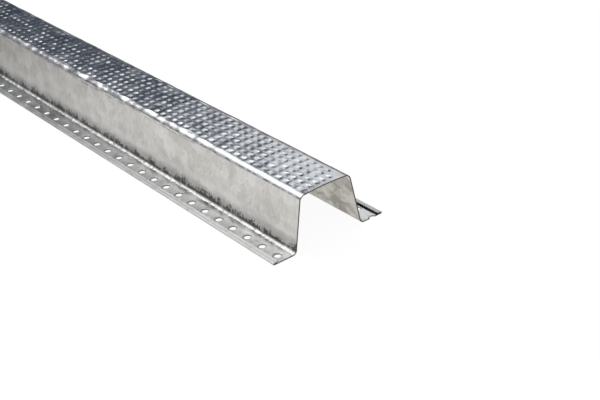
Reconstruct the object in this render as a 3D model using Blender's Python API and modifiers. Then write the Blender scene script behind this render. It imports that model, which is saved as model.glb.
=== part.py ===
"""Top hat batten: one strip of galvanised steel, roll formed into a hat section.

The batten lies on its two flanges, as it does across rafters. Its length runs along Y and the
section is symmetric about the plane X = 0. The origin is on the floor under the middle of the
batten, and all sizes are in metres.

Going out from the middle, half of the section is a slightly cambered crown, an upper bend, a
sloping web, a lower bend, a flat flange, and a hem: the edge of the strip folded back on top of
the flange. A row of round holes is punched along the middle of each flange.
"""

from math import acos, atan2, cos, pi, radians, sin, tan

import bmesh
import bpy
from mathutils import Vector

# Overall sizes
LENGTH = 2.400
OVERALL_WIDTH = 0.090
OVERALL_HEIGHT = 0.040
SHEET = 0.0006

# The section: widths are between the sharp corners of the sheet's middle line
CROWN_WIDTH = 0.0396
BASE_WIDTH = 0.0537
CROWN_CAMBER = 0.0011
UPPER_BEND_RADIUS = 0.0040
LOWER_BEND_RADIUS = 0.0030
HEM_WIDTH = 0.0039
HEM_GAP = 0.0002
HEM_TILT = radians(11)

# Facets: an odd count on the crown keeps its middle level
CROWN_FACETS = 9
UPPER_BEND_FACETS = 5
LOWER_BEND_FACETS = 5
HEM_FACETS = 6

# Punched holes, the same distance from each edge. The rows are punched out of step, and the
# end cut runs through the first hole of the right row, whose centre is just off the end.
HOLE_DIAMETER = 0.0060
HOLE_PITCH = 0.0160
HOLE_FROM_EDGE = 0.0085
FIRST_HOLE_LEFT = 0.0068
FIRST_HOLE_RIGHT = -0.0008
HOLE_SIDES = 8

# How far a punch reaches past both faces of the sheet
PUNCH_OVERRUN = 0.0010

SMOOTH_ANGLE = radians(30)
MERGE_DISTANCE = 0.000001


def clear_scene():
    """Start from an empty scene."""
    for existing in list(bpy.data.objects):
        bpy.data.objects.remove(existing, do_unlink=True)


def make_collection(name):
    collection = bpy.data.collections.new(name)
    bpy.context.scene.collection.children.link(collection)
    return collection


def zinc_material():
    """Hot-dip galvanised steel: pale, cool grey and half dull."""
    material = bpy.data.materials.new("galvanised_steel")
    material.use_nodes = True
    shader = material.node_tree.nodes["Principled BSDF"]
    shader.inputs["Base Color"].default_value = (0.58, 0.59, 0.60, 1.0)
    shader.inputs["Metallic"].default_value = 0.85
    shader.inputs["Roughness"].default_value = 0.42
    return material


def arc(centre, radius, first, last, facets):
    """Points on an arc in XZ. Angles are measured from +Z towards +X."""
    step = (last - first) / facets
    angles = [first + step * index for index in range(facets + 1)]
    return [centre + radius * Vector((sin(angle), 0.0, cos(angle))) for angle in angles]


def half_section():
    """The sheet's middle line from the middle of the crown out to the end of the hem."""
    flange_level = SHEET / 2
    shoulder_level = OVERALL_HEIGHT - SHEET / 2 - CROWN_CAMBER
    crown_corner = Vector((CROWN_WIDTH / 2, 0.0, shoulder_level))
    base_corner = Vector((BASE_WIDTH / 2, 0.0, flange_level))

    # The web falls from the crown's corner to the base's corner at this angle below level
    web = base_corner - crown_corner
    web_angle = atan2(-web.z, web.x)
    inward = Vector((-sin(web_angle), 0.0, -cos(web_angle)))

    # The crown is an arc through both of its corners and its middle
    crown_radius = ((CROWN_WIDTH / 2) ** 2 + CROWN_CAMBER ** 2) / (2 * CROWN_CAMBER)
    crown_centre = Vector((0.0, 0.0, shoulder_level + CROWN_CAMBER - crown_radius))

    # The upper bend touches the crown's arc from inside, and the web's line
    depth = (crown_centre - crown_corner).dot(inward) - UPPER_BEND_RADIUS
    crown_end = web_angle - acos(depth / (crown_radius - UPPER_BEND_RADIUS))
    crown_step = 2 * crown_end / CROWN_FACETS
    crown = arc(crown_centre, crown_radius, crown_step / 2, crown_end, CROWN_FACETS // 2)
    middle = Vector((0.0, 0.0, crown[0].z))
    reach = crown_radius - UPPER_BEND_RADIUS
    upper_centre = crown_centre + reach * Vector((sin(crown_end), 0.0, cos(crown_end)))
    upper_bend = arc(upper_centre, UPPER_BEND_RADIUS, crown_end, web_angle, UPPER_BEND_FACETS)

    # The lower bend turns the web out to the flange
    tangent = LOWER_BEND_RADIUS * tan(web_angle / 2)
    lower_centre = base_corner + Vector((tangent, 0.0, LOWER_BEND_RADIUS))
    lower_bend = arc(lower_centre, LOWER_BEND_RADIUS, pi + web_angle, pi, LOWER_BEND_FACETS)

    # The hem turns up and back over the flange. It has sprung open a little, so it leans and its
    # free edge stands higher than its fold.
    fold_radius = (SHEET + HEM_GAP) / 2
    fold_x = OVERALL_WIDTH / 2 - SHEET / 2 - fold_radius
    fold_centre = Vector((fold_x, 0.0, flange_level + fold_radius))
    fold = arc(fold_centre, fold_radius, pi, HEM_TILT, HEM_FACETS)
    free_x = OVERALL_WIDTH / 2 - HEM_WIDTH
    hem_rise = (fold[-1].x - free_x) * tan(HEM_TILT)
    hem_end = Vector((free_x, 0.0, fold[-1].z + hem_rise))

    return [middle] + crown + upper_bend[1:] + lower_bend + fold + [hem_end]


def sheet_from_section(points, collection, material):
    """Draw half of the section along the batten, mirror it and give the sheet its thickness."""
    mesh = bpy.data.meshes.new("top_hat_batten")
    bm = bmesh.new()
    start = Vector((0.0, -LENGTH / 2, 0.0))
    corners = [bm.verts.new(point + start) for point in points]
    for near, far in zip(corners, corners[1:]):
        bm.edges.new((near, far))
    drawn = bmesh.ops.extrude_edge_only(bm, edges=bm.edges[:])
    moved = [item for item in drawn["geom"] if isinstance(item, bmesh.types.BMVert)]
    bmesh.ops.translate(bm, verts=moved, vec=(0.0, LENGTH, 0.0))
    bmesh.ops.recalc_face_normals(bm, faces=bm.faces[:])
    bm.to_mesh(mesh)
    bm.free()

    batten = bpy.data.objects.new("top_hat_batten", mesh)
    batten.data.materials.append(material)
    collection.objects.link(batten)

    mirror = batten.modifiers.new("other_half", "MIRROR")
    mirror.use_axis = (True, False, False)
    mirror.use_clip = True
    mirror.merge_threshold = MERGE_DISTANCE

    solidify = batten.modifiers.new("sheet_thickness", "SOLIDIFY")
    solidify.thickness = SHEET
    solidify.offset = 0.0
    solidify.use_even_offset = True
    return batten


def punch_row(name, side, first_hole, collection):
    """A row of punches along one flange: side is -1 on the left and +1 on the right."""
    bpy.ops.mesh.primitive_cylinder_add(
        vertices=HOLE_SIDES,
        radius=HOLE_DIAMETER / 2,
        depth=SHEET + 2 * PUNCH_OVERRUN,
        location=(
            side * (OVERALL_WIDTH / 2 - HOLE_FROM_EDGE),
            first_hole - LENGTH / 2,
            SHEET / 2,
        ),
    )
    punch = bpy.context.object
    punch.name = name
    for owner in list(punch.users_collection):
        owner.objects.unlink(punch)
    collection.objects.link(punch)
    punch.hide_render = True
    punch.display_type = "WIRE"

    row = punch.modifiers.new("row", "ARRAY")
    row.use_relative_offset = False
    row.use_constant_offset = True
    row.constant_offset_displace = (0.0, HOLE_PITCH, 0.0)
    row.count = 1 + int((LENGTH - first_hole) / HOLE_PITCH)
    return punch


def punch_holes(batten, punches):
    for punch in punches:
        cut = batten.modifiers.new(punch.name, "BOOLEAN")
        cut.operation = "DIFFERENCE"
        cut.solver = "EXACT"
        cut.object = punch


def shade_bends(batten):
    """Keep the cut mesh, smooth over its bends and sharp at its cut edges."""
    graph = bpy.context.evaluated_depsgraph_get()
    finished = bpy.data.meshes.new_from_object(batten.evaluated_get(graph))
    batten.modifiers.clear()
    batten.data = finished
    finished.name = "top_hat_batten"
    finished.shade_smooth()
    finished.set_sharp_from_angle(angle=SMOOTH_ANGLE)


def main():
    clear_scene()
    parts = make_collection("top_hat_batten")
    cutters = make_collection("cutters")
    batten = sheet_from_section(half_section(), parts, zinc_material())
    left_row = punch_row("left_punches", -1, FIRST_HOLE_LEFT, cutters)
    right_row = punch_row("right_punches", 1, FIRST_HOLE_RIGHT, cutters)
    punch_holes(batten, (left_row, right_row))
    shade_bends(batten)


main()
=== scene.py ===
# %% [markdown]
# # A top hat batten
#
# A top hat batten is one strip of galvanised steel, passed through pairs of rollers until it has
# the section of a brimmed hat. It carries a roof or a ceiling: the brims are screwed to the
# rafters, and the sheeting is screwed down to the knurled crown. This lesson builds it the way
# the mill does: knurl the strip, form the bends, punch the flanges, fold the hems, saw it off.
#
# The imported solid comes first. It fixes the frame, and its box is the room that the detailed
# sheet has to stay inside.

from math import acos, asin, atan2, cos, degrees, pi, radians, sin, tan
from random import Random

import bmesh
import bpy
from mathutils import Matrix, Vector, noise


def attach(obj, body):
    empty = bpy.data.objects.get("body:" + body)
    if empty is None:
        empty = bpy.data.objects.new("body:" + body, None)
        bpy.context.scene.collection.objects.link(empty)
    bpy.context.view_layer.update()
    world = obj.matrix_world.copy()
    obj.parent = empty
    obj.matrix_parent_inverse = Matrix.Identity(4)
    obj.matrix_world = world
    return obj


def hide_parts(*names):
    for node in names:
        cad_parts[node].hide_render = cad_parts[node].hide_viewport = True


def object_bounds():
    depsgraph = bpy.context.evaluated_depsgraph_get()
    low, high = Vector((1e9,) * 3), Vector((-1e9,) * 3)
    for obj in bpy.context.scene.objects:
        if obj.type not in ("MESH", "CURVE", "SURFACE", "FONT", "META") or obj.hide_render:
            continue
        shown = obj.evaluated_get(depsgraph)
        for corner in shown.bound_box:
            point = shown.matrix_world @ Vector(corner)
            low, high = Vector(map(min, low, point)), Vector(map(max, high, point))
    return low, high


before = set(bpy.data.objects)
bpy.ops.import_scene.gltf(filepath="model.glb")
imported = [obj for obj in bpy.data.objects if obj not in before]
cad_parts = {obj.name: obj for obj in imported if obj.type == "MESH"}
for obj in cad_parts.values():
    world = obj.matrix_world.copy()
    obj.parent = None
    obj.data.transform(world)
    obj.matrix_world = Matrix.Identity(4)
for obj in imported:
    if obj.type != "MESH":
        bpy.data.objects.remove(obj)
cad_low, cad_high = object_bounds()
print("solid's box in mm", [round(1000 * side, 2) for side in cad_high - cad_low])

# %% [markdown]
# ## The camera
#
# The photograph looks down along the batten from beyond its front left corner, with the camera
# turned a few degrees about its own axis. A camera could be aimed with a constraint, but a
# rolled view is plainer as three directions: the camera's matrix is made of its right, its up
# and the reverse of the way it looks.

# %% Camera
FRAME_WIDTH = 600
FOCAL_PIXELS = 1225.2
SENSOR = 36.0
NEAREST, FARTHEST = 0.01, 50.0
CAMERA_PLACE = Vector((-0.40572, -1.73005, 0.40593))
CAMERA_AHEAD = Vector((0.51235, 0.70475, -0.49075))
CAMERA_UP = Vector((0.35809, 0.34409, 0.86797))

camera_data = bpy.data.cameras.new("camera")
camera_data.sensor_fit = "HORIZONTAL"
camera_data.sensor_width = SENSOR
camera_data.lens = FOCAL_PIXELS / FRAME_WIDTH * SENSOR
camera_data.clip_start = NEAREST
camera_data.clip_end = FARTHEST
camera = bpy.data.objects.new("camera", camera_data)
bpy.context.scene.collection.objects.link(camera)

ahead = CAMERA_AHEAD.normalized()
right = ahead.cross(CAMERA_UP).normalized()
upward = right.cross(ahead)
turned = Matrix((right, upward, -ahead)).transposed().to_4x4()
camera.matrix_world = Matrix.Translation(CAMERA_PLACE) @ turned
bpy.context.scene.camera = camera
print("lens", round(camera_data.lens, 2), "mm")

# %% [markdown]
# ## The sizes of the strip
#
# Everything follows from a few sizes of the section. Widths are between the sharp corners of the
# sheet's middle line, as a mill draws it, and each bend is an arc that touches the straight parts
# on both sides of it. Only the crown's end angle has to be worked out, because a bend that
# touches both an arc and a line has its centre where the two offsets cross. HAIR is a distance
# too small to see: the room kept to the solid's box, and how near two vertices have to be to
# count as one.

# %% Sizes
HAIR = 0.00002
FRONT = cad_low.y + HAIR
BACK = cad_high.y - HAIR
LENGTH = BACK - FRONT
HEIGHT = cad_high.z - cad_low.z - HAIR
WIDTH = 0.0900
SHEET = 0.0006
CROWN_WIDTH = 0.0396
BASE_WIDTH = 0.0537
CAMBER = 0.0011
UPPER_RADIUS = 0.0040
LOWER_RADIUS = 0.0030
HEM_WIDTH = 0.0039
HEM_GAP = 0.0002
HEM_TILT = radians(11)

shoulder = HEIGHT - SHEET / 2 - CAMBER
crown_corner = Vector((CROWN_WIDTH / 2, 0.0, shoulder))
base_corner = Vector((BASE_WIDTH / 2, 0.0, SHEET / 2))
web = base_corner - crown_corner
web_angle = atan2(-web.z, web.x)
crown_radius = ((CROWN_WIDTH / 2) ** 2 + CAMBER ** 2) / (2 * CAMBER)
crown_centre = Vector((0.0, 0.0, shoulder + CAMBER - crown_radius))
inward = Vector((-sin(web_angle), 0.0, -cos(web_angle)))
depth = (crown_centre - crown_corner).dot(inward) - UPPER_RADIUS
crown_end = web_angle - acos(depth / (crown_radius - UPPER_RADIUS))
out_along = Vector((sin(crown_end), 0.0, cos(crown_end)))
upper_centre = crown_centre + (crown_radius - UPPER_RADIUS) * out_along
lower_run = LOWER_RADIUS * tan(web_angle / 2)
lower_centre = base_corner + Vector((lower_run, 0.0, LOWER_RADIUS))
web_down = web.normalized()
web_length = (base_corner - upper_centre).dot(web_down) - lower_run
print("web leans", round(degrees(web_angle), 1), "degrees, flat part", round(1000 * web_length, 2))

# %% [markdown]
# ## One dimple of the knurl
#
# The crown is knurled with small dents, six across and one every 7.5 mm along, so that a screw's
# tip doesn't skid. There are almost two thousand, so each may have only a few faces. One tile is
# made: a rounded rim inside a rectangle, and a smaller floor pressed below it. Bridging two loops
# of different counts fills the space between them with triangles, which suits a pressed dent.
# Rim and floor are marked in an attribute named dent, so that later steps can find them.

# %% One tile of the knurl
ROWS = 6
ROW_PITCH = 0.0054
ROW_SHIFT = -0.0005
STATION_PITCH = 0.0075
FIRST_STATION = 0.0065
DENT_DEPTH = 0.00041
DENT_HALO = 0.00011
DENT_RIM = (0.0018, 0.0026)
DENT_FLOOR = (0.0006, 0.0009)
RIM_MARK, FLOOR_MARK = 0.5, 1.0


def loop(bm, sides, half_width, half_length, level, filled=False):
    """An upright polygon: four sides reach their corners, eight sides reach their flats."""
    made = bmesh.ops.create_circle(bm, segments=sides, radius=1.0, cap_ends=filled)["verts"]
    flat = cos(pi / sides)
    bmesh.ops.rotate(bm, verts=made, matrix=Matrix.Rotation(pi / sides, 3, "Z"))
    bmesh.ops.scale(bm, verts=made, vec=(half_width / flat, half_length / flat, 1.0))
    bmesh.ops.translate(bm, verts=made, vec=(0.0, 0.0, level))
    return made


def edges_of(bm, verts):
    inside = set(verts)
    return [edge for edge in bm.edges if edge.verts[0] in inside and edge.verts[1] in inside]


def everything(bm):
    return bm.verts[:] + bm.edges[:] + bm.faces[:]


sheet = bmesh.new()
dent_layer = sheet.verts.layers.float.new("dent")
outline = loop(sheet, 4, ROW_PITCH / 2, STATION_PITCH / 2, 0.0)
rim = loop(sheet, 8, DENT_RIM[0], DENT_RIM[1], -DENT_HALO)
bmesh.ops.bridge_loops(sheet, edges=edges_of(sheet, outline) + edges_of(sheet, rim))
floor_of_dent = loop(sheet, 4, DENT_FLOOR[0], DENT_FLOOR[1], -DENT_DEPTH, filled=True)
bmesh.ops.bridge_loops(sheet, edges=edges_of(sheet, rim) + edges_of(sheet, floor_of_dent))
for vert in rim:
    vert[dent_layer] = RIM_MARK
for vert in floor_of_dent:
    vert[dent_layer] = FLOOR_MARK
print("one tile has", len(sheet.faces), "faces")

# %% [markdown]
# ## The whole knurled crown
#
# The crown is slightly cambered, so the tiles are laid round its arc as the staves of a barrel
# are. Spin does both jobs: turned about the arc's centre with duplicates it lays a row of six,
# and with no angle but a step along Y it repeats that row down the length. Doubles are merged,
# and then each dent is pressed a little deeper or shallower than the next, and a little off its
# place, as worn rollers do.

# %% Crown
DENT_ASIDE = 0.0006
DENT_ONWARD = 0.0010
DENT_UNEVEN = 0.00036

rows_run = ROWS * 2 * asin(ROW_PITCH / 2 / crown_radius)
tile_angle = rows_run / ROWS
first_row = ROW_SHIFT / crown_radius - rows_run / 2 + tile_angle / 2
lift = crown_centre.z + crown_radius * cos(tile_angle / 2)
stations = int((LENGTH - FIRST_STATION) / STATION_PITCH)
bmesh.ops.translate(sheet, verts=sheet.verts[:], vec=(0.0, FRONT + FIRST_STATION, lift))
bmesh.ops.rotate(
    sheet, verts=sheet.verts[:], cent=crown_centre, matrix=Matrix.Rotation(first_row, 3, "Y"))
bmesh.ops.spin(
    sheet, geom=everything(sheet), cent=crown_centre, axis=(0, 1, 0),
    angle=tile_angle * (ROWS - 1), steps=ROWS - 1, use_duplicate=True)
bmesh.ops.spin(
    sheet, geom=everything(sheet), axis=(0, 1, 0), dvec=(0.0, STATION_PITCH, 0.0),
    angle=0.0, steps=stations - 1, use_duplicate=True)
bmesh.ops.remove_doubles(sheet, verts=sheet.verts[:], dist=HAIR)

chance = Random(7)
press = {}
for vert in sheet.verts:
    if vert[dent_layer] == FLOOR_MARK:
        turn = atan2(vert.co.x, vert.co.z - crown_centre.z)
        row = round((turn - first_row) / tile_angle)
        station = round((vert.co.y - FRONT - FIRST_STATION) / STATION_PITCH)
        if (row, station) not in press:
            press[row, station] = Vector([chance.uniform(-0.5, 0.5) for way in range(3)])
        aside, onward, deeper = press[row, station]
        vert.co += Vector((aside * DENT_ASIDE, onward * DENT_ONWARD, 0.0))
        vert.co += Vector((sin(turn), 0.0, cos(turn))) * deeper * DENT_UNEVEN
print(len(press), "dents in", ROWS, "rows")

# %% [markdown]
# ## Plain ends, bends and webs
#
# The strip is made a little too long and sawn off later, so both ends of the crown are drawn out
# plain. Then each long edge of the crown is carried outwards. Spin again draws an edge chain
# round a bend's centre, and extruding it draws the flat web. The chain is halved near the foot of
# the web, because the rollers leave fine wrinkles there and in the lower bend.

# %% Bends and webs
SPARE = 0.008
UPPER_FACETS = 6
LOWER_FACETS = 5
FOOT = 0.0060
FOOT_STEPS = 2


def chain_at(bm, test):
    return [edge for edge in bm.edges if edge.is_boundary and all(test(v.co) for v in edge.verts)]


def draw_out(bm, chain, vec):
    """Extrudes a chain of edges by a vector and gives the far chain."""
    made = bmesh.ops.extrude_edge_only(bm, edges=chain)["geom"]
    verts = [item for item in made if isinstance(item, bmesh.types.BMVert)]
    bmesh.ops.translate(bm, verts=verts, vec=vec)
    new = set(verts)
    edges = [item for item in made if isinstance(item, bmesh.types.BMEdge)]
    return [edge for edge in edges if set(edge.verts) <= new]


def roll(bm, chain, centre, angle, steps):
    """Draws a chain of edges round a centre, about the batten's length, and gives the last one."""
    made = bmesh.ops.spin(
        bm, geom=chain, cent=centre, axis=(0, 1, 0), angle=angle, steps=steps)["geom_last"]
    return [item for item in made if isinstance(item, bmesh.types.BMEdge)]


knurl_front = min(vert.co.y for vert in sheet.verts)
knurl_back = max(vert.co.y for vert in sheet.verts)
draw_out(sheet, chain_at(sheet, lambda co: co.y < knurl_front + HAIR), (0, -SPARE, 0))
draw_out(sheet, chain_at(sheet, lambda co: co.y > knurl_back - HAIR), (0, SPARE, 0))

flange_chains = {}
for side in (-1, 1):
    edge_turn = side * rows_run / 2 + ROW_SHIFT / crown_radius
    edge_x = crown_radius * sin(edge_turn)
    chain = chain_at(sheet, lambda co: abs(co.x - edge_x) < HAIR)
    chain = roll(sheet, chain, crown_centre, side * crown_end - edge_turn, 1)
    centre = Vector((side * upper_centre.x, 0.0, upper_centre.z))
    chain = roll(sheet, chain, centre, side * (web_angle - crown_end), UPPER_FACETS)
    down = Vector((side * web_down.x, 0.0, web_down.z))
    chain = draw_out(sheet, chain, down * (web_length - FOOT))
    bmesh.ops.subdivide_edges(sheet, edges=chain, cuts=1)
    foot_x = side * (base_corner.x - (lower_run + FOOT) * web_down.x)
    chain = chain_at(sheet, lambda co: abs(co.x - foot_x) < HAIR / 2)
    for part in range(FOOT_STEPS):
        chain = draw_out(sheet, chain, down * FOOT / FOOT_STEPS)
    centre = Vector((side * lower_centre.x, 0.0, lower_centre.z))
    flange_chains[side] = roll(sheet, chain, centre, -side * web_angle, LOWER_FACETS)
    print("side", side, "flange chain of", len(flange_chains[side]), "edges")

# %% [markdown]
# ## The punched flanges
#
# Each flange has a row of small round holes, 16 mm apart. A Boolean could punch them, but three
# hundred holes in a dense sheet are slow to cut and leave slivers. A tile is cleaner: a circle
# inside a rectangle, bridged, then repeated down the length by the same empty spin. The two rows
# are out of step, so the saw later runs through the first hole on the right and leaves a notch.

# %% Flanges
HOLE_PITCH = 0.0160
HOLE_RADIUS = 0.00240
HOLE_FROM_EDGE = 0.0085
FIRST_HOLE = {-1: 0.0068, 1: -0.0008}
HOLE_SIDES = 16
HOLE_MARGIN = 0.0010

fold_radius = (SHEET + HEM_GAP) / 2
fold_x = WIDTH / 2 - SHEET / 2 - fold_radius
hole_x = WIDTH / 2 - HOLE_FROM_EDGE
tile_inner = hole_x - HOLE_RADIUS - HOLE_MARGIN
tiles = 2 + int(LENGTH / HOLE_PITCH)

hem_chains = {}
for side in (-1, 1):
    plate = bmesh.new()
    plate.verts.layers.float.new("dent")
    outline = loop(plate, 4, (fold_x - tile_inner) / 2, HOLE_PITCH / 2, 0.0)
    middle = (fold_x + tile_inner) / 2
    bmesh.ops.translate(plate, verts=outline, vec=(side * middle, 0.0, 0.0))
    hole = loop(plate, HOLE_SIDES, HOLE_RADIUS, HOLE_RADIUS, 0.0)
    bmesh.ops.translate(plate, verts=hole, vec=(side * hole_x, 0.0, 0.0))
    bmesh.ops.bridge_loops(plate, edges=edges_of(plate, outline) + edges_of(plate, hole))
    bmesh.ops.translate(
        plate, verts=plate.verts[:], vec=(0.0, FRONT + FIRST_HOLE[side], SHEET / 2))
    bmesh.ops.spin(
        plate, geom=everything(plate), axis=(0, 1, 0), dvec=(0.0, HOLE_PITCH, 0.0),
        angle=0.0, steps=tiles - 1, use_duplicate=True)
    bmesh.ops.remove_doubles(plate, verts=plate.verts[:], dist=HAIR)
    punched = bpy.data.meshes.new("punched_flange")
    plate.to_mesh(punched)
    plate.free()
    sheet.from_mesh(punched)
    bpy.data.meshes.remove(punched)
    inner = chain_at(sheet, lambda co: abs(co.x - side * tile_inner) < HAIR)
    bmesh.ops.bridge_loops(sheet, edges=flange_chains[side] + inner)
    hem_chains[side] = chain_at(sheet, lambda co: abs(co.x - side * fold_x) < HAIR)
    print("side", side, "has", tiles, "hole tiles; bridge from", len(inner), "edges")

# %% [markdown]
# ## The hems
#
# The raw edges of the strip are folded back on top of the flange, which stiffens the brim and
# hides the sharp edge. A hem springs open a little when the rollers let it go. So the flange's
# last chain is rolled a little less than half a turn about a centre just above it, and is then
# drawn back inwards and slightly upwards.

# %% Hems
FOLD_FACETS = 8

hem_run = fold_x + fold_radius * sin(HEM_TILT) - (WIDTH / 2 - HEM_WIDTH)
for side in (-1, 1):
    centre = Vector((side * fold_x, 0.0, SHEET / 2 + fold_radius))
    chain = roll(sheet, hem_chains[side], centre, -side * (pi - HEM_TILT), FOLD_FACETS)
    draw_out(sheet, chain, (-side * hem_run, 0.0, hem_run * tan(HEM_TILT)))
print("hems run", round(1000 * hem_run, 1), "mm back over the flanges")

# %% [markdown]
# ## Places on the flat strip
#
# Wrinkles, roller marks and stains follow the strip, not the room. So each vertex is told how far
# it lay from the middle of the flat strip before it was rolled. That distance is the length of
# the section's line from the crown's middle, and it is kept as an attribute named across, for
# the finish to read. The bends are recognised by the angle about their centres.

# %% Across the strip
crown_reach = crown_radius * crown_end
web_reach = crown_reach + UPPER_RADIUS * (web_angle - crown_end)
foot_reach = web_reach + web_length
flange_reach = foot_reach + LOWER_RADIUS * web_angle
fold_reach = flange_reach + fold_x - lower_centre.x
hem_reach = fold_reach + fold_radius * (pi - HEM_TILT)
web_top = upper_centre + UPPER_RADIUS * Vector((sin(web_angle), 0.0, cos(web_angle)))


def strip_distance(x, z):
    """How far a point of the folded section lay from the middle of the flat strip."""
    turn = atan2(x, z - crown_centre.z)
    if turn <= crown_end and z > shoulder - UPPER_RADIUS:
        return crown_radius * turn
    turn = atan2(x - upper_centre.x, z - upper_centre.z)
    if turn <= web_angle and x < lower_centre.x:
        return crown_reach + UPPER_RADIUS * (turn - crown_end)
    turn = atan2(lower_centre.x - x, lower_centre.z - z)
    if turn >= web_angle:
        return web_reach + (Vector((x, 0.0, z)) - web_top).dot(web_down)
    if turn >= 0:
        return flange_reach - LOWER_RADIUS * turn
    if z > SHEET / 2 + fold_radius and x < fold_x:
        return hem_reach + (fold_x - x) / cos(HEM_TILT)
    if x > fold_x:
        return fold_reach + fold_radius * atan2(x - fold_x, SHEET / 2 + fold_radius - z)
    return flange_reach + x - lower_centre.x


across_layer = sheet.verts.layers.float.new("across")
for vert in sheet.verts:
    distance = strip_distance(abs(vert.co.x), vert.co.z)
    vert[across_layer] = distance if vert.co.x > 0 else -distance
print("flat strip was", round(2000 * max(vert[across_layer] for vert in sheet.verts), 1), "mm wide")

# %% [markdown]
# ## Wrinkles and the saw
#
# The foot of each web and the lower bend are stretched by the rollers, and stay a little
# crumpled. Their vertices are moved square to the sheet by smooth noise, and by less towards the
# flange and up the web. The upper bends get shallow pleats: the absolute value of noise makes
# round swellings with sharp creases between them, and it only presses inwards, so the section
# keeps its size. Then two cuts with a plane, front and back, saw the strip to length.

# %% Wrinkles
WRINKLE = 0.00025
WRINKLE_FINENESS = (3.7, 170.0, 200.0)
PLEAT = 0.00045
PLEAT_FINENESS = (90.0, 60.0, 120.0)
PLEAT_START = 0.0012
PLEAT_END = 0.0010
PLEAT_FADE = 0.0030
SAW_SLACK = 0.000001


def ease_between(rising, falling):
    """The lesser of two slopes, kept between 0 and 1."""
    return min(max(min(rising, falling), 0.0), 1.0)


def swelling(fineness, place):
    """Smooth noise at a place, stretched by a fineness for each of its three numbers."""
    return noise.noise(Vector([step * times for step, times in zip(place, fineness)]))


sheet.normal_update()
for vert in sheet.verts:
    reach = abs(vert[across_layer])
    up_web = (reach - (foot_reach - FOOT)) / FOOT
    to_flange = (flange_reach - reach) / (LOWER_RADIUS * web_angle)
    ease = ease_between(up_web, to_flange)
    if ease > 0.0:
        side = 1.0 if vert.co.x > 0 else -1.0
        crumpled = swelling(WRINKLE_FINENESS, (side, vert.co.y, reach))
        vert.co += vert.normal * WRINKLE * ease * crumpled
    from_crown = (reach - (crown_reach - PLEAT_START)) / PLEAT_START
    to_web = (web_reach + PLEAT_END - reach) / PLEAT_FADE
    ease = ease_between(from_crown, to_web)
    if ease > 0.0:
        pleated = abs(swelling(PLEAT_FINENESS, (vert.co.x, vert.co.y, reach)))
        vert.co -= vert.normal * PLEAT * ease * pleated

for level, direction in ((FRONT, (0, -1, 0)), (BACK, (0, 1, 0))):
    bmesh.ops.bisect_plane(
        sheet, geom=everything(sheet), plane_co=(0.0, level, 0.0), plane_no=direction,
        dist=SAW_SLACK, clear_outer=True)
bmesh.ops.recalc_face_normals(sheet, faces=sheet.faces[:])
print("middle surface has", len(sheet.faces), "faces")

# %% [markdown]
# ## Thickness and shading
#
# So far the sheet is only its middle surface. Solidify gives it 0.6 mm, half to each side, and
# puts other material slots on the rim and on the new side that it makes. The rim is the saw's
# cut, the walls of the holes and the raw edge of the hems, and the faces that keep their slot are
# the inside of the hat. The slots are turned into attributes, so that one finish can darken bare
# steel and stain the inside. The bends stay smooth and the cut edges sharp, and Weighted Normal
# lets the large flat faces keep their own direction.

# %% Thickness
SHARP = radians(38)
INSIDE_SLOT, CUT_SLOT, OUTSIDE_SLOT = 0, 1, 2


def settled(piece):
    """Replaces a piece's mesh by what its modifiers make of it."""
    graph = bpy.context.evaluated_depsgraph_get()
    finished = bpy.data.meshes.new_from_object(piece.evaluated_get(graph))
    piece.modifiers.clear()
    piece.data = finished
    return finished


zinc = bpy.data.materials.new("galvanised_steel_finish")
mesh = bpy.data.meshes.new("knurled_sheet")
sheet.to_mesh(mesh)
sheet.free()
for slot in (INSIDE_SLOT, CUT_SLOT, OUTSIDE_SLOT):
    mesh.materials.append(zinc)
batten = bpy.data.objects.new("knurled_sheet", mesh)
bpy.context.scene.collection.objects.link(batten)
thickness = batten.modifiers.new("thickness", "SOLIDIFY")
thickness.thickness = SHEET
thickness.offset = 0.0
thickness.use_even_offset = True
thickness.material_offset_rim = CUT_SLOT
thickness.material_offset = OUTSIDE_SLOT
mesh = settled(batten)
cut = mesh.attributes.new("cut", "FLOAT", "FACE")
inside = mesh.attributes.new("inside", "FLOAT", "FACE")
for face in mesh.polygons:
    cut.data[face.index].value = float(face.material_index == CUT_SLOT)
    inside.data[face.index].value = float(face.material_index == INSIDE_SLOT)
    face.material_index = INSIDE_SLOT
print("cut faces", sum(item.value > 0.5 for item in cut.data),
      "inner faces", sum(item.value > 0.5 for item in inside.data))
mesh.materials.pop(index=OUTSIDE_SLOT)
mesh.materials.pop(index=CUT_SLOT)
mesh.shade_smooth()
mesh.set_sharp_from_angle(angle=SHARP)
dented = mesh.attributes["dent"].data
for edge in mesh.edges:
    if all(dented[corner].value == RIM_MARK for corner in edge.vertices):
        edge.use_edge_sharp = True
flatten = batten.modifiers.new("flat_faces", "WEIGHTED_NORMAL")
flatten.keep_sharp = True
mesh = settled(batten)
mesh.name = "knurled_sheet"
mesh.calc_loop_triangles()
print("sheet has", len(mesh.loop_triangles), "triangles")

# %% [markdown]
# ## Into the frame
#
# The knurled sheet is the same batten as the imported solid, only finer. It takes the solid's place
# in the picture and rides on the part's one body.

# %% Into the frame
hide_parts("top_hat_batten")
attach(batten, "root")
print(batten.name, "stands for the solid")

# %% [markdown]
# ## Shader maths in plain Python
#
# A finish is a small tree of nodes. Adding and linking nodes one by one hides the idea, so one
# small class wraps a socket. Sums and products of sockets add Math nodes by themselves, and one
# method adds any other node: its settings first, then the values or links of its sockets. The
# rest of the class names what a finish needs all the time: a soft step, a band, a range of
# numbers and a mix of two colours.

# %% A socket that can be added and multiplied
MIX_FACTOR, MIX_A, MIX_B, MIX_RESULT = 0, 6, 7, 2


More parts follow.
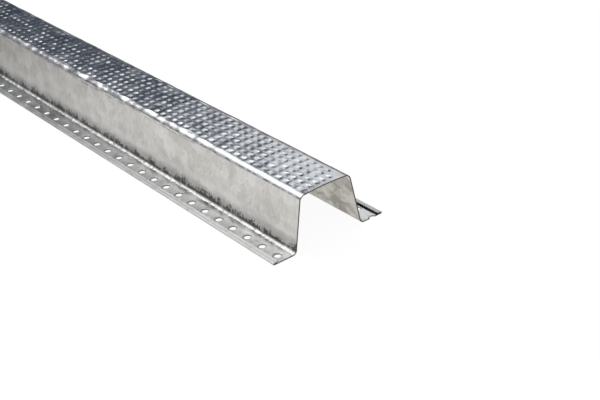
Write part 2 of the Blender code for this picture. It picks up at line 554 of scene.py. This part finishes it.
class Socket:
    """Wraps an output socket, so that an expression on it adds nodes to its tree."""

    def __init__(self, tree, source=None):
        self.tree = tree
        self.source = source

    def add(self, kind, settings=None, inputs=None, output=0):
        """Adds a node: its settings are set first, then its sockets' values or links."""
        node = self.tree.nodes.new("ShaderNode" + kind)
        for name, value in (settings or {}).items():
            setattr(node, name, value)
        for name, value in (inputs or {}).items():
            if isinstance(value, Socket):
                self.tree.links.new(value.source, node.inputs[name])
            else:
                node.inputs[name].default_value = value
        return Socket(self.tree, node.outputs[output])

    def other(self, output):
        """Another output of the same node."""
        return Socket(self.tree, self.source.node.outputs[output])

    def feed(self, node, name):
        """Links this value to a socket of a node that is already there."""
        self.tree.links.new(self.source, node.inputs[name])

    def maths(self, operation, *values):
        return self.add("Math", {"operation": operation}, dict(enumerate(values)))

    def __add__(self, value):
        return self.maths("ADD", self, value)

    def __sub__(self, value):
        return self.maths("SUBTRACT", self, value)

    def __rsub__(self, value):
        return self.maths("SUBTRACT", value, self)

    def __mul__(self, value):
        return self.maths("MULTIPLY", self, value)

    def __truediv__(self, value):
        return self.maths("DIVIDE", self, value)

    def __abs__(self):
        return self.maths("ABSOLUTE", self)

    __radd__ = __add__
    __rmul__ = __mul__

    def most(self, *others):
        """The greatest of this value and the others."""
        greatest = self
        for value in others:
            greatest = greatest.maths("MAXIMUM", greatest, value)
        return greatest

    def rise(self, low, high, smooth=True):
        """0 below low and 1 above high, smooth between; it falls where low is the greater."""
        kind = {"interpolation_type": "SMOOTHSTEP" if smooth else "LINEAR"}
        ends = {"Value": self, "From Min": low, "From Max": high}
        return self.add("MapRange", kind, ends)

    def band(self, start, full, fading, end):
        """0 before start, 1 from full to fading, and 0 again past end."""
        return self.rise(start, full) * self.rise(end, fading)

    def between(self, low, high):
        """A number between two others, picked by this value."""
        return self * (high - low) + low

    def tint(self, low, high):
        """A colour between two others, picked by this value."""
        ends = {MIX_FACTOR: self, MIX_A: low, MIX_B: high}
        return self.add("Mix", {"data_type": "RGBA"}, ends, MIX_RESULT)


zinc.use_nodes = True
steel = Socket(zinc.node_tree)
shader = zinc.node_tree.nodes["Principled BSDF"]
print("tree of", zinc.name, "starts with", len(zinc.node_tree.nodes), "nodes")

# %% [markdown]
# ## Zinc crystals
#
# Hot-dip zinc freezes in flat crystals, and each catches the light in its own way. A picture of
# spangle could be wrapped round the sheet, but it would stretch and repeat. Here the place on the
# flat strip feeds a Voronoi texture, warped by noise so that its borders wander. Inside each
# crystal fine feathers run one of two ways, as the crystal's branches do. Every pattern is given
# its size in metres, across the strip and along it. Where rise follows a noise, its two numbers
# are the levels of the noise between which the pattern comes in.

# %% Places and crystals
WANDER_SIZE = (0.005, 0.005)
WANDER = (0.006, 0.006, 0.0)
CRYSTAL_SIZE = (0.0085, 0.0100, 1.0)
CRYSTAL_SMOOTHNESS = 0.4
FEATHER_SIZE = (0.0016, 0.0070)
FEATHER_TURNS = (62, -68)

across = steel.add("Attribute", {"attribute_name": "across"}, output="Fac")
along = steel.add("SeparateXYZ", None, {0: steel.add("TexCoord", output="Object")}, "Y")
reach = abs(across)
strip = steel.add("CombineXYZ", None, {"X": across, "Y": along})


def vector_maths(operation, first, second):
    return first.add("VectorMath", {"operation": operation}, {0: first, 1: second})


def blotches(size, detail=2.0, rough=0.5, place=None, turn=0.0, output=0):
    """Noise whose blotches have this size across and along the strip, if it isn't turned."""
    place = place or strip
    if turn:
        spin = {"Vector": place, "Rotation": (0.0, 0.0, radians(turn))}
        place = place.add("Mapping", None, spin)
    place = vector_maths("DIVIDE", place, (*size, 1.0))
    values = {"Vector": place, "Scale": 1.0, "Detail": detail, "Roughness": rough}
    return place.add("TexNoise", {"noise_dimensions": "2D"}, values, output)


wander = vector_maths("MULTIPLY", blotches(WANDER_SIZE, output="Color"), WANDER)
warped = vector_maths("ADD", strip, wander)
cells = vector_maths("DIVIDE", warped, CRYSTAL_SIZE)
crystal = cells.add(
    "TexVoronoi", {"voronoi_dimensions": "2D", "feature": "SMOOTH_F1"},
    {"Vector": cells, "Scale": 1.0, "Smoothness": CRYSTAL_SMOOTHNESS}, "Color")
crystal_tone = crystal.add("SeparateColor", None, {0: crystal}, 0)
which_way = crystal_tone.other(1).rise(0.45, 0.55)
upward_feather, downward_feather = [
    blotches(FEATHER_SIZE, detail=3.0, rough=0.65, place=warped, turn=turn)
    for turn in FEATHER_TURNS]
feather = upward_feather * which_way + downward_feather * (1 - which_way)
print("crystals about", round(1000 * CRYSTAL_SIZE[0], 1), "mm wide")

# %% [markdown]
# ## Where the section's parts lie
#
# The strip's distance across picks out the crown, the flanges and the hems, and its sign the
# right side. Each mask is 1 on its part and fades at its edges. A thin rim of the sheet at both
# sawn ends counts with the cut edge: partly zinc torn by the saw, partly painted shade along the
# cut.

# %% Masks
CROWN_EDGE = 0.0010
HEM_EDGE = 0.0005
FLANGE_EDGE = 0.0015
END_RIM = (0.0007, 0.0002)
END_RIM_TORN_AND_SHADED = 0.7

on_crown = reach.rise(crown_reach + CROWN_EDGE, crown_reach - CROWN_EDGE)
on_flange = reach.rise(flange_reach - FLANGE_EDGE, flange_reach)
on_hem = reach.rise(fold_reach - HEM_EDGE, fold_reach + HEM_EDGE)
on_right_side = across.rise(-HAIR, HAIR, smooth=False)
inner_face = steel.add("Attribute", {"attribute_name": "inside"}, output="Fac")
cut_edge = steel.add("Attribute", {"attribute_name": "cut"}, output="Fac")
from_end = LENGTH / 2 - abs(along)
# Both sawn ends: partly torn zinc, partly painted shade along the cut.
cut_edge = cut_edge.most(from_end.rise(*END_RIM) * END_RIM_TORN_AND_SHADED)
print("web runs from", round(1000 * web_reach, 1), "to", round(1000 * foot_reach, 1), "mm")

# %% [markdown]
# ## Painted dark at the crumpled foot of the webs
#
# Where the rollers bend the sheet they crumple it, most of all at the foot of each web, and the
# crumpled zinc mirrors the flange and looks dark in ragged patches. That dark reflection is
# painted into the colour here. A patch's upper border wanders up and down along the batten. So
# its height is itself a noise along the length, and a finer noise breaks it up. Height over patch
# height is a plain division, because a range node would clamp it at 1. Between the dark specks
# the painted dark stays as a thin grey veil, and the inside of the hat gets much less of it.

# %% Painted dark foot
LOWEST_TONGUE, TALLEST_TONGUE = 0.0028, 0.0080
TONGUE_SIZE = (0.5, 0.0130)
TONGUE_TIP = (1.3, 0.7)
TONGUE_ROOT = 0.0012
ROOT_FADE = (-0.0009, 0.0006)
SPECKLE_SIZE = (0.0024, 0.0020)
THINNING = 0.42
PATCH_SIZE = (0.5, 0.0090)
PALEST_PATCH = 0.55
VEIL = 0.15
INSIDE_FOOT_SHARE = 0.2

tall = blotches(TONGUE_SIZE, detail=2.0, rough=0.6).rise(0.30, 0.70)
tall = tall.between(LOWEST_TONGUE, TALLEST_TONGUE)
height = foot_reach + TONGUE_ROOT - reach
above = height / tall
in_foot = height.rise(*ROOT_FADE) * above.rise(*TONGUE_TIP)
speckle = blotches(SPECKLE_SIZE, detail=4.0, rough=0.72) - above * THINNING
patches = blotches(PATCH_SIZE, detail=3.0, rough=0.6).rise(0.36, 0.50).between(PALEST_PATCH, 1)
# Painted dark reflection of the flange in the crumpled foot, with a thin veil between the specks.
foot_dark_reflection = in_foot * speckle.rise(0.17, 0.33).between(VEIL, 1) * patches
foot_dark_reflection = foot_dark_reflection * inner_face.between(1, INSIDE_FOOT_SHARE)
print("dark tongues up to", round(1000 * TALLEST_TONGUE, 1), "mm tall")

# %% [markdown]
# ## Painted dark lines at the upper bends
#
# The upper bends are gentler, so they only get thin lines, painted into the colour. One runs low
# on each bend, a little above its web, and is broken by noise: a painted reflection of the dark
# horizon that this part of the bend mirrors. The left border of the crown gets dashes of painted
# shade, and the right bend a dull band along its edge, a painted dark reflection.

# %% Painted dark lines
SHOULDER_TURN = radians(57)
SHOULDER_LINE = (0.0007, 0.0001)
SHOULDER_SIZE = (0.004, 0.0080)
BORDER_INSET = 0.0012
BORDER_LINE = (0.0010, 0.0003)
BORDER_SIZE = (0.006, 0.0060)
BORDER_SHADE = 0.85
RIGHT_EDGE_BAND = (-0.0007, 0.0, 0.0026, 0.0034)


def line_at(distance, middle, outer, inner):
    """1 on a line along the strip, 0 further from its middle than outer."""
    return abs(distance - middle).rise(outer, inner)


shoulder_reach = crown_reach + UPPER_RADIUS * (SHOULDER_TURN - crown_end)
broken = blotches(SHOULDER_SIZE, detail=4.0, rough=0.7).rise(0.42, 0.60)
# A painted dark reflection: the broken dark line low on each upper bend.
shoulder_dark_reflection = line_at(reach, shoulder_reach, *SHOULDER_LINE) * broken.between(0.25, 1)
dashes = blotches(BORDER_SIZE, detail=2.0, rough=0.6).rise(0.38, 0.56)
# Painted shade: dark dashes along the crown's left border.
border_shade = line_at(across, BORDER_INSET - crown_reach, *BORDER_LINE) * dashes
# A painted dark reflection along the right bend's edge.
right_edge_dark_reflection = across.band(*[crown_reach + edge for edge in RIGHT_EDGE_BAND]) * broken.between(0.65, 0.95)
# All the painted dark reflections and shade, at the foot of the webs and on the upper bends.
painted_darks = foot_dark_reflection.most(shoulder_dark_reflection, border_shade * BORDER_SHADE, right_edge_dark_reflection)
print("line on the bend", round(1000 * (shoulder_reach - crown_reach), 1), "mm past the crown")

# %% [markdown]
# ## The lips of the holes
#
# A punch rounds the zinc down into its hole. Its lip is pressed down by the relief and painted
# dark, partly the rough burr of the punch and partly painted shade in the dip, a little heavier on
# the side towards the back. The holes follow a rule, so their distance does too: the fraction of
# the pitch gives how far a point lies past its nearest hole, and with the distance sideways that
# makes the radius from the lip's centre.

# %% Hole lips
LIP = 0.0008
LIP_SHIFT = 0.0006

first = on_right_side.between(FIRST_HOLE[-1], FIRST_HOLE[1]) + (FRONT + LIP_SHIFT)
station = (along - first) / HOLE_PITCH + 0.5
past = (station.maths("FRACT", station) - 0.5) * HOLE_PITCH
sideways = reach - (flange_reach + hole_x - lower_centre.x)
from_hole = past.maths("SQRT", past * past + sideways * sideways)
lip = from_hole.rise(HOLE_RADIUS + LIP, HOLE_RADIUS)
print("lips reach", round(1000 * LIP, 1), "mm from each hole")

# %% [markdown]
# ## Marks and painted lip shade on the flanges
#
# The flanges slide through the rollers and over each other in the stack. They are smudged here
# and there, a broken dark band runs just outside the lower bend, and a fine dark line runs along
# each hem, a little in from its fold. The lips of the holes add their painted shade. The greatest
# of these marks wins, because two marks in one place don't add up.

# %% Marks and lip shade
SMUDGE_SIZE = (0.0040, 0.0110)
SMUDGE = 0.40
BEND_BAND_SIZE = (0.0030, 0.0250)
BEND_BAND_OUT = 0.0012
BEND_BAND_LINE = (0.0018, 0.0006)
MARK_DARKNESS = 0.35
HEM_LINE_IN = 0.0014
HEM_LINE = (0.0005, 0.0001)
# How dark the hole lips are painted: partly the burr, partly painted shade in the dip.
LIP_BURR_AND_SHADE = 0.60

smudge = on_flange * blotches(SMUDGE_SIZE, detail=4.0, rough=0.7).rise(0.54, 0.70)
bend_band = line_at(reach, flange_reach + BEND_BAND_OUT, *BEND_BAND_LINE)
bend_band = bend_band * blotches(BEND_BAND_SIZE, detail=3.0, rough=0.6).rise(0.32, 0.60)
hem_line = line_at(reach, hem_reach + HEM_LINE_IN, *HEM_LINE)
# The marks on the flanges, with the painted shade of the hole lips.
marks_and_lip_shade = (smudge * SMUDGE).most(bend_band * MARK_DARKNESS, hem_line * MARK_DARKNESS, lip * LIP_BURR_AND_SHADE)
print("rubbed stripe", round(1000 * BEND_BAND_OUT, 1), "mm outside the bend")

# %% [markdown]
# ## The colour of the steel
#
# Zinc is a pale grey that is a little warm on the plain webs and cooler on the crown, where the
# rollers burnish it. Crystals, feathers and slow clouds change it slightly from place to place,
# and their sum is centred on one half. Then each finish is laid over the ones before it wherever
# its mask is 1, as coats of paint are: the pale foot of the webs, the warm streaks inside the
# hat, a pale coat on the upper bends that is partly burnish and partly a painted highlight, the
# crown, the flanges, with the right one painted paler as painted light, the hems, the smudges
# and lines with the painted shade of the hole lips, the painted dark reflections and shade on the
# bends, and last the bare, dull steel of the cut edges, with painted shade along the sawn ends. A
# thin coat, such as the hem's, lets some of the one below show through.

# %% Colour
CLOUD_SIZE = (0.018, 0.035)
CRYSTALS, FEATHERS, CLOUDS = 0.42, 0.80, 0.40
FOOT_RISE = (-0.0140, -0.0050)
BEND_FALL = (-0.0003, 0.0008)
PALE_BEND = 0.65
STAIN_SIZE = (0.0080, 0.0150)
BEND_HIGHLIGHT_EDGES = (0.0005, -0.0015)
FOOT_COAT, HEM_COAT, PAINTED_DARK_COAT = 0.9, 0.7, 0.92
PALER_RIGHT = 0.5
HEM_EDGE_LIFT = 0.4


def grey(level, warmth=0.0):
    """A grey of this strength, warmer above 0 and cooler below it."""
    return (level * (1 + warmth), level * (1 + 0.3 * warmth), level * (1 - warmth), 1.0)


clouds = blotches(CLOUD_SIZE)
tone = crystal_tone * CRYSTALS + feather * FEATHERS + clouds * CLOUDS
tone = (tone - (CRYSTALS + FEATHERS + CLOUDS - 1) / 2).rise(0.20, 0.80, smooth=False)
low_web = reach.rise(*[foot_reach + edge for edge in FOOT_RISE])
in_bend = reach.rise(*[foot_reach + edge for edge in BEND_FALL])
pale = low_web * in_bend.between(1, PALE_BEND) * FOOT_COAT
stained = blotches(STAIN_SIZE, detail=4.0, rough=0.65, place=warped).rise(0.32, 0.68)
# A paler coat on the upper bends: partly burnish, partly a painted highlight that whitens the
# lamp's line.
bend_highlight_and_burnish = reach.rise(*[web_reach + edge for edge in BEND_HIGHLIGHT_EDGES])
flange_zinc = tone.tint(grey(0.37, -0.02), grey(0.57, -0.02))

colour = tone.tint(grey(0.47, 0.05), grey(0.74, 0.03))
for mask, coat in (
    (pale, tone.tint(grey(0.82, 0.04), grey(1.0, 0.02))),
    (inner_face, stained.tint(grey(0.42, 0.09), grey(0.82, 0.06))),
    # Paler upper bends: partly burnish, partly a painted highlight.
    (bend_highlight_and_burnish, grey(0.84, -0.01)),
    (on_crown, tone.tint(grey(0.56, -0.04), grey(0.76, -0.04))),
    # The right flange is painted paler than the left: painted light.
    (on_flange, (on_right_side * PALER_RIGHT).tint(flange_zinc, grey(0.80))),
    (on_hem * HEM_COAT, grey(0.56, 0.02)),
    # Smudges and lines, with the painted shade of the hole lips.
    (marks_and_lip_shade, grey(0.16)),
    # Painted dark reflections and shade, laid over the zinc.
    (painted_darks * PAINTED_DARK_COAT, grey(0.10, -0.01)),
    # Bare dull steel on the cut edges and the painted shade along the sawn ends; the hems' raw
    # edges are kept lighter.
    (cut_edge * (1 - on_hem * HEM_EDGE_LIFT), grey(0.07)),
):
    colour = mask.tint(colour, coat)
colour.feed(shader, "Base Color")
shader.inputs["Metallic"].default_value = 1.0
print("colour takes", len(zinc.node_tree.nodes), "nodes so far")

# %% [markdown]
# ## How sharply it mirrors
#
# The knurling rollers burnish the crown and the guides the flanges, so they mirror the room
# quite sharply. The webs and hems keep the dull frost of the dip, the patches and lines of painted
# dark and the saw cuts are the dullest, and the crystals differ a little. Each line of the list
# says how much a mask adds to the roughness or takes from it.

# %% Roughness
FROST = 0.26

roughness = sum((mask * amount for mask, amount in (
    (crystal_tone, 0.08),
    (clouds, 0.06),
    (bend_highlight_and_burnish, -0.06),
    (on_crown, -0.04),
    (on_flange * (1 - on_hem), -0.14),
    (painted_darks, 0.15),
    (cut_edge, 0.20),
)), FROST)
roughness.feed(shader, "Roughness")
print("roughness starts from", FROST)

# %% [markdown]
# ## Fine relief
#
# The camera can't tell the crystals' steps, the roller lines on the hems or the buckles of the
# web from flat metal by shape, but it sees them in the reflections. One Bump node is enough for
# them: each pattern is added to one height, in millimetres, and the lips go down into the holes.
# A noise that a mask switches on is centred on zero first, or the mask's own edge would stand out
# as a false ridge. The upper bend's pleats grow stronger away from the sawn end.

# %% Relief
MILLIMETRE = 0.001
SOFT_START = 0.001
BUCKLE_SIZE = (0.014, 0.022)
CRUMPLE_SIZE = (0.0026, 0.0024)
CRUMPLE_ELSEWHERE = 0.15
PLEAT_SIZE = (0.0100, 0.0160)
FIRM_END = (0.04, 0.16)
FIRM_PLEATS, SLACK_PLEATS = 0.25, 1.75
LOWER_SIZE = (0.0050, 0.0050)
ROLLER_SIZE = (0.0005, 0.080)
ROLLERS_ELSEWHERE = 0.25
WAVE_SIZE = (0.006, 0.009)
LIP_DEPTH = 0.35


def centred(size, detail, rough):
    """Noise about zero, for a pattern that a mask switches on."""
    return blotches(size, detail, rough) - 0.5


on_shoulder = reach.band(crown_reach - SOFT_START, crown_reach, web_reach, web_reach + SOFT_START)
on_lower = reach.band(
    foot_reach, foot_reach + SOFT_START, flange_reach - SOFT_START, flange_reach)
slack = along.rise(*[FRONT + place for place in FIRM_END]).between(FIRM_PLEATS, SLACK_PLEATS)
crumple = (in_foot + CRUMPLE_ELSEWHERE) * centred(CRUMPLE_SIZE, detail=3.0, rough=0.6)
pleats = on_shoulder * centred(PLEAT_SIZE, detail=1.0, rough=0.4) * slack
lower_pleats = on_lower * centred(LOWER_SIZE, detail=2.0, rough=0.5)
roller_lines = (on_hem + ROLLERS_ELSEWHERE) * blotches(ROLLER_SIZE, detail=2.0, rough=0.6)
crown_waves = on_crown * centred(WAVE_SIZE, detail=2.0, rough=0.5)
relief = sum((pattern * height for pattern, height in (
    (blotches(BUCKLE_SIZE), 0.22),
    (crystal_tone, 0.006),
    (feather, 0.012),
    (crumple, 0.50),
    (pleats, 1.0),
    (lower_pleats, 0.8),
    (roller_lines, 0.020),
    (crown_waves, 0.28),
)), lip * -LIP_DEPTH)
bump = relief.add("Bump", None, {"Height": relief, "Distance": MILLIMETRE, "Strength": 1.0})
bump.feed(shader, "Normal")
print("finish has", len(zinc.node_tree.nodes), "nodes")

# %% [markdown]
# ## The white floor
#
# The batten lies on a seamless white floor, and bright metal shows that floor wherever it leans
# down. A real floor would need strong lamps to look white, and they would burn out the metal.
# Light Path helps: to the camera and to reflections the floor is mostly plain white, and to the
# light that bounces softly it stays paper, so that the batten keeps its shadow. Only in
# reflections it is darker: a painted shadow under the batten, and painted dark strips past the
# right side and farther along, which give the low parts of the metal something to mirror.

# %% Floor
WHITE, BLACK = (1.0, 1.0, 1.0, 1.0), (0.0, 0.0, 0.0, 1.0)
PAPER = (0.9, 0.9, 0.9, 1.0)
MATT = 0.9
SELF_WHITE = 0.9
GLOW = 1.04
HALF_FLOOR = 12.0
PAST_SIDE = (0.055, 0.075, 0.8, 1.2)
BEHIND = (-1.00, -0.45)
UNDER = (0.034, 0.022)
SIDE_SHADE, BACK_SHADE, UNDER_SHADE = 0.85, 0.75, 0.35


def seen_directly(tree):
    """1 for rays from the camera and from reflections, 0 for softly bounced light."""
    rays = Socket(tree).add("LightPath", output="Is Camera Ray")
    return rays.most(rays.other("Is Glossy Ray"), rays.other("Is Transmission Ray"))


def studio_finish(name, colour):
    """A matt material without any shine, and its shader."""
    finish = bpy.data.materials.new(name)
    finish.use_nodes = True
    plain = finish.node_tree.nodes["Principled BSDF"]
    plain.inputs["Base Color"].default_value = colour
    plain.inputs["Roughness"].default_value = MATT
    plain.inputs["Specular IOR Level"].default_value = 0.0
    return finish, plain


def staged(name, bm, material):
    """An object of the studio, not of the batten."""
    studio_mesh = bpy.data.meshes.new(name)
    bm.to_mesh(studio_mesh)
    bm.free()
    studio_mesh.materials.append(material)
    piece = bpy.data.objects.new(name, studio_mesh)
    bpy.context.scene.collection.objects.link(piece)
    return piece


paper, paper_shader = studio_finish("white_paper", PAPER)
seen = seen_directly(paper.node_tree)
mirrored = seen.add("LightPath", output="Is Glossy Ray")
spot = seen.add("SeparateXYZ", None, {0: seen.add("TexCoord", output="Object")}, "X")
# Painted shade seen only in reflections: a painted shadow under the batten and dark strips beside
# and beyond it.
shade = (spot.band(*PAST_SIDE) * SIDE_SHADE).most(
    spot.other("Y").rise(*BEHIND) * BACK_SHADE, abs(spot).rise(*UNDER) * UNDER_SHADE)
white = (mirrored * shade).tint(WHITE, BLACK)
glow = seen.add("Emission", None, {"Color": white, "Strength": GLOW})
soft = Socket(paper.node_tree, paper_shader.outputs[0])
mixed = seen.add("MixShader", None, {0: seen * SELF_WHITE, 1: soft, 2: glow})
mixed.feed(paper.node_tree.nodes["Material Output"], 0)

ground = bmesh.new()
bmesh.ops.create_grid(ground, x_segments=1, y_segments=1, size=HALF_FLOOR)
floor = staged("floor", ground, paper)
print("floor is", round(floor.dimensions.x), "m wide")

# %% [markdown]
# ## A dark card to mirror
#
# Polished metal is drawn by what it mirrors. In an all-white room it would vanish, so a studio
# stands dark cards round it, out of the camera's sight. Here one curved card stands behind the
# batten and round both sides. An upright edge is spun about a point just behind the batten's near
# end, and its top is then cut to a skyline: low on the far left, where the upper bend has to stay
# white, and high ahead, where the crown and its dents mirror it. The card fades to white on the
# right, as a lit card does, so the near end of the crown is bright and its far end dark. Its
# shade is worked out from Object coordinates, which stay with the card.

# %% Dark card
CARD_DISTANCE = 6.0
CARD_CENTRE = FRONT + 0.1
SKYLINE = (
    (-72, 6), (-44, 7), (-36, 14), (-32, 29), (-14, 34),
    (6, 34), (18, 38), (30, 38), (50, 30), (76, 11))
CARD_TONE = (0.050, 0.065, 0.090, 1.0)
FADE_LEAN = 0.4
FADE_RIGHT = (42.3, 48.0)
FADE_FOOT = (7.0, 12.0)
FADE_LEFT, LEFT_WHITE = (6.0, -18.0), 0.12
FADE_TOP, TOP_WHITE = (30.0, 40.0), 0.30


def skyline(azimuth):
    """The card's top edge in degrees above the horizon, at an azimuth in degrees."""
    for (start, low), (end, high) in zip(SKYLINE, SKYLINE[1:]):
        if azimuth <= end:
            return low + (high - low) * (azimuth - start) / (end - start)
    return SKYLINE[-1][1]


card = bmesh.new()
start = radians(SKYLINE[0][0])
foot = card.verts.new((CARD_DISTANCE * sin(start), CARD_DISTANCE * cos(start), 0.0))
head = card.verts.new(foot.co + Vector((0.0, 0.0, 1.0)))
upright = card.edges.new((foot, head))
sweep = SKYLINE[-1][0] - SKYLINE[0][0]
bmesh.ops.spin(
    card, geom=[foot, head, upright], axis=(0, 0, -1), angle=radians(sweep), steps=sweep)
for vert in card.verts:
    if vert.co.z > 0.5:
        azimuth = degrees(atan2(vert.co.x, vert.co.y))
        vert.co.z = CARD_DISTANCE * tan(radians(skyline(azimuth)))

dark, dark_shader = studio_finish("dark_card", BLACK)
dark_shader.inputs["Emission Strength"].default_value = 1.0
east = Socket(dark.node_tree).add("TexCoord", output="Object")
east = east.add("SeparateXYZ", None, {0: east}, "X")
turn = east.maths("ARCTAN2", east, east.other("Y")) * degrees(1)
climb = east.maths("ARCTAN2", east.other("Z"), CARD_DISTANCE) * degrees(1)
on_right = (turn + climb * FADE_LEAN).rise(*FADE_RIGHT) * climb.rise(*FADE_FOOT)
fade = on_right.most(turn.rise(*FADE_LEFT) * LEFT_WHITE, climb.rise(*FADE_TOP) * TOP_WHITE)
fade.tint(CARD_TONE, WHITE).feed(dark_shader, "Emission Color")
dark_card = staged("dark_card", card, dark)
dark_card.location.y = CARD_CENTRE
dark_card.visible_camera = False
dark_card.visible_diffuse = False
dark_card.visible_shadow = False
print("card spans", sweep, "degrees")

# %% [markdown]
# ## Two softboxes
#
# A white line runs along the rounded upper bend, and it is the reflection of a lamp. A softbox
# is an area lamp, and a bright object mirrors it as the box it is, so its place is chosen by
# what the metal should show: above the card's left part for the bend, and a second one high on
# the right for the dents at the near end. Power spreads over the lamp's area, so brightness times
# pi times the area gives the power that makes the box look that bright.

# %% Softboxes
SOFTBOX_DISTANCE = 3.0
LIT_PLACE = Vector((0.0, -1.1, 0.02))


def softbox(name, size, brightness, azimuth, elevation, roll=0.0):
    """An area lamp that faces the batten's near end. Angles are in degrees."""
    data = bpy.data.lights.new(name, "AREA")
    data.shape = "RECTANGLE"
    data.size, data.size_y = size
    data.energy = brightness * pi * size[0] * size[1]
    lamp = bpy.data.objects.new(name, data)
    bpy.context.scene.collection.objects.link(lamp)
    turned, raised = radians(azimuth), radians(elevation)
    toward = Vector((sin(turned) * cos(raised), cos(turned) * cos(raised), sin(raised)))
    place = Matrix.Translation(LIT_PLACE + toward * SOFTBOX_DISTANCE)
    aimed = toward.to_track_quat("Z", "Y").to_matrix().to_4x4()
    lamp.matrix_world = place @ aimed @ Matrix.Rotation(radians(roll), 4, "Z")
    print(name, "gives", round(data.energy, 1), "W")


softbox("softbox", size=(1.9, 0.9), brightness=1.20, azimuth=-6.5, elevation=45, roll=-10)
softbox("high_softbox", size=(1.6, 1.0), brightness=1.15, azimuth=52, elevation=60)

# %% [markdown]
# ## The white room
#
# The rest of the light comes evenly from all round. The camera and reflections see a plain white
# room of strength 1, and the light that falls on the batten is a little weaker, so that pale
# zinc doesn't burn out.

# %% World
ROOM_LIGHT = 0.75

world = bpy.data.worlds.new("white_room")
bpy.context.scene.world = world
world.use_nodes = True
background = world.node_tree.nodes["Background"]
background.inputs["Color"].default_value = WHITE
seen_directly(world.node_tree).between(ROOM_LIGHT, 1).feed(background, "Strength")
print("room light", ROOM_LIGHT)

# %% [markdown]
# ## The picture
#
# The Standard view shows each colour as it is written.

# %% Finish
bpy.context.scene.view_settings.view_transform = "Standard"
